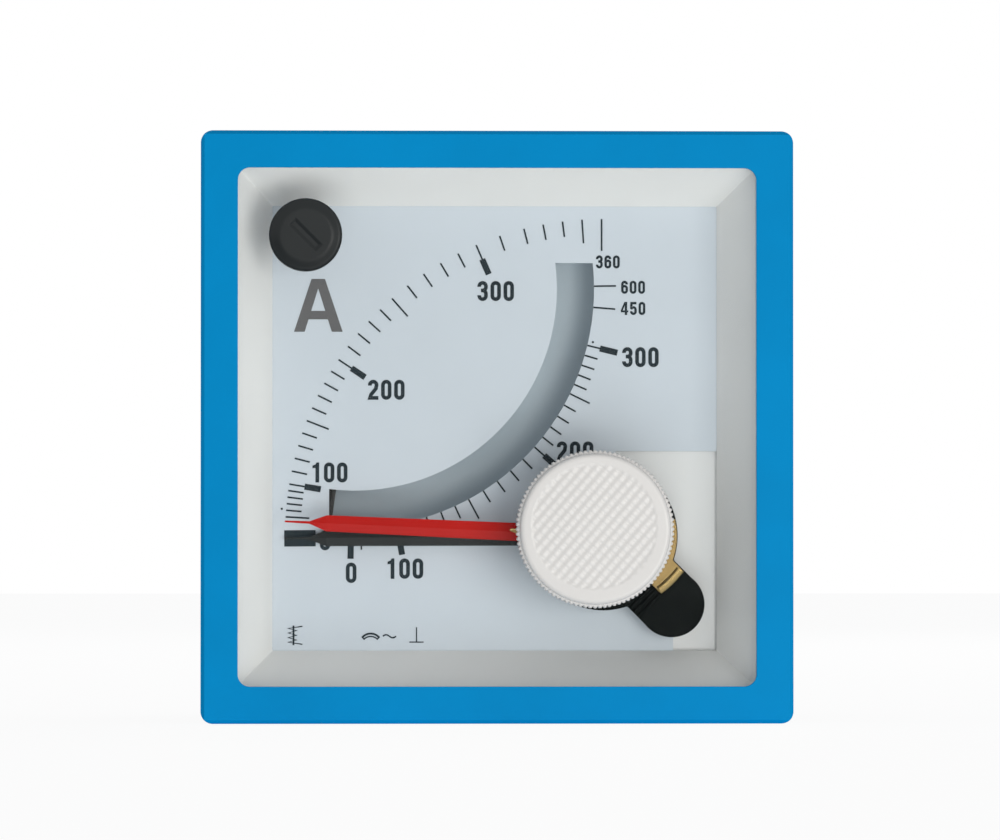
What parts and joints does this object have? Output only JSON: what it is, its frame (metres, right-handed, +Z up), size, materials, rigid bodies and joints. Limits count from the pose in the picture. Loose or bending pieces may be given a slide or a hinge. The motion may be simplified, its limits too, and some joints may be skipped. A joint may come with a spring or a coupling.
{
  "type": "analog panel meter",
  "caption": "Square moving-pointer panel meter with a slow demand movement, a red drag pointer with reset knob, and a second pointer behind an arc slot.",
  "frame": {"origin": "centre of the front frame's rear face, which lies on the panel", "axes": "+X to the right and +Z up as the dial is read, +Y into the panel"},
  "size_m": [0.072, 0.0807, 0.072],
  "materials": {
    "frame_blue": "moulded blue plastic",
    "window_clear": "clear moulded window",
    "mask_grey": "fine light grey",
    "dial_paint": "pale blue-grey paint",
    "ink": "printed ink",
    "corner_grey": "moulded light grey",
    "plate_grey": "moulded grey",
    "case_black": "fine grained black",
    "knob_white": "warm white moulding",
    "black_gloss": "glossy black moulding",
    "black_paint": "satin black paint",
    "red_paint": "satin red paint",
    "iron_black": "blackened",
    "brass": "bright brass",
    "copper": "copper",
    "winding": "enamelled copper wire, wound",
    "bimetal": "rolled bimetal strip",
    "steel": "zinc plated",
    "spring_steel": "blued strip",
    "iron": "soft iron sheet",
    "aluminium": "plain sheet",
    "inner_plastic": "moulded",
    "coil_black": "moulded"
  },
  "bodies": {
    "meter": {"bezel_frame": "frame_blue", "window": "window_clear", "mask": "mask_grey", "dial_plate": "dial_paint", "scale_marks": "ink", "dial_screws": "steel", "corner_plate": "corner_grey", "movement_plate": "plate_grey", "plate_screws": "steel", "case": "case_black", "pivot_bridge": "black_gloss", "pivot_screw": "brass", "bridge_screws": "steel", "friction_washer": "spring_steel", "active_spiral": "bimetal", "heat_shield": "aluminium", "bimetal_yoke": "steel", "bimetal_rear_bearing": "brass", "spiral_anchor": "brass", "iron_bridge": "steel", "iron_front_bearing": "brass", "fixed_iron": "iron", "coil_bobbin": "coil_black", "coil_winding": "winding", "iron_yoke": "steel", "iron_rear_bearing": "brass", "damper_chamber": "inner_plastic", "link_left": "copper", "link_right": "copper", "terminal_stud_left": "brass", "terminal_stud_right": "brass", "lock_nut_left": "brass", "lock_nut_right": "brass", "clamp_stud_left": "steel", "clamp_stud_right": "steel"},
    "drag": {"drag_pointer": "red_paint", "drag_hub": "brass"},
    "demand": {"demand_pointer": "black_paint", "bimetal_spindle": "steel"},
    "bimetal_zero": {"bimetal_zero_lever": "brass", "compensating_spiral": "bimetal"},
    "iron": {"iron_pointer": "iron_black", "iron_spindle": "steel", "moving_iron": "iron", "damper_vane": "aluminium"},
    "iron_zero": {"iron_zero_lever": "brass", "hairspring": "spring_steel"},
    "reset": {"reset_knob": "knob_white", "reset_finger": "knob_white"},
    "zero_adjuster": {"zero_knob": "black_gloss", "zero_clip": "spring_steel"},
    "strap_left": {"clamp_strap_left": "steel"},
    "strap_right": {"clamp_strap_right": "steel"},
    "strap_nut_left": {"clamp_nut_left": "brass"},
    "strap_nut_right": {"clamp_nut_right": "brass"},
    "outer_nut_left": {"terminal_nut_left": "brass"},
    "outer_nut_right": {"terminal_nut_right": "brass"}
  },
  "joints": [
    {"name": "demand_swing", "type": "hinge", "parent": "meter", "child": "demand", "pos_m": [0.0132, 0, -0.0132], "axis": [0, 1, 0], "range_deg": [0, 92], "stiffness_Nm_per_rad": 0.003},
    {"name": "drag_swing", "type": "hinge", "parent": "meter", "child": "drag", "pos_m": [0.0132, 0, -0.0132], "axis": [0, 1, 0], "range_deg": [-2.6, 88.4]},
    {"name": "iron_swing", "type": "hinge", "parent": "meter", "child": "iron", "pos_m": [-0.0171, 0, 0.0171], "axis": [0, -1, 0], "range_deg": [0, 98], "stiffness_Nm_per_rad": 0.002},
    {"name": "reset_turn", "type": "hinge", "parent": "meter", "child": "reset", "pos_m": [0.0118, 0, -0.0124], "axis": [0, -1, 0], "range_deg": [0, 113]},
    {"name": "zero_turn", "type": "hinge", "parent": "meter", "child": "zero_adjuster", "pos_m": [-0.0233, 0, 0.0233], "axis": [0, 1, 0], "range_deg": [-45, 45]},
    {"name": "iron_zero_swing", "type": "hinge", "parent": "meter", "child": "iron_zero", "pos_m": [-0.0171, 0, 0.0171], "axis": [0, 1, 0], "range_deg": [-4, 4]},
    {"name": "bimetal_zero_swing", "type": "hinge", "parent": "meter", "child": "bimetal_zero", "pos_m": [0.0132, 0, -0.0132], "axis": [0, 1, 0], "range_deg": [-8, 8]},
    {"name": "strap_left_slide", "type": "slide", "parent": "meter", "child": "strap_left", "axis": [0, 1, 0], "range_m": [-0.004, 0.007]},
    {"name": "strap_right_slide", "type": "slide", "parent": "meter", "child": "strap_right", "axis": [0, 1, 0], "range_m": [-0.004, 0.007]},
    {"name": "strap_nut_left_slide", "type": "slide", "parent": "meter", "child": "strap_nut_left", "axis": [0, 1, 0], "range_m": [-0.004, 0.007]},
    {"name": "strap_nut_right_slide", "type": "slide", "parent": "meter", "child": "strap_nut_right", "axis": [0, 1, 0], "range_m": [-0.004, 0.007]},
    {"name": "outer_nut_left_slide", "type": "slide", "parent": "meter", "child": "outer_nut_left", "axis": [0, 1, 0], "range_m": [0, 0.005]},
    {"name": "outer_nut_right_slide", "type": "slide", "parent": "meter", "child": "outer_nut_right", "axis": [0, 1, 0], "range_m": [0, 0.005]}
  ],
  "couplings": [
    {"joint": "iron_zero_swing", "follows": "zero_turn", "ratio": 0.086},
    {"joint": "strap_nut_left_slide", "follows": "strap_left_slide", "ratio": 1},
    {"joint": "strap_nut_right_slide", "follows": "strap_right_slide", "ratio": 1}
  ]
}
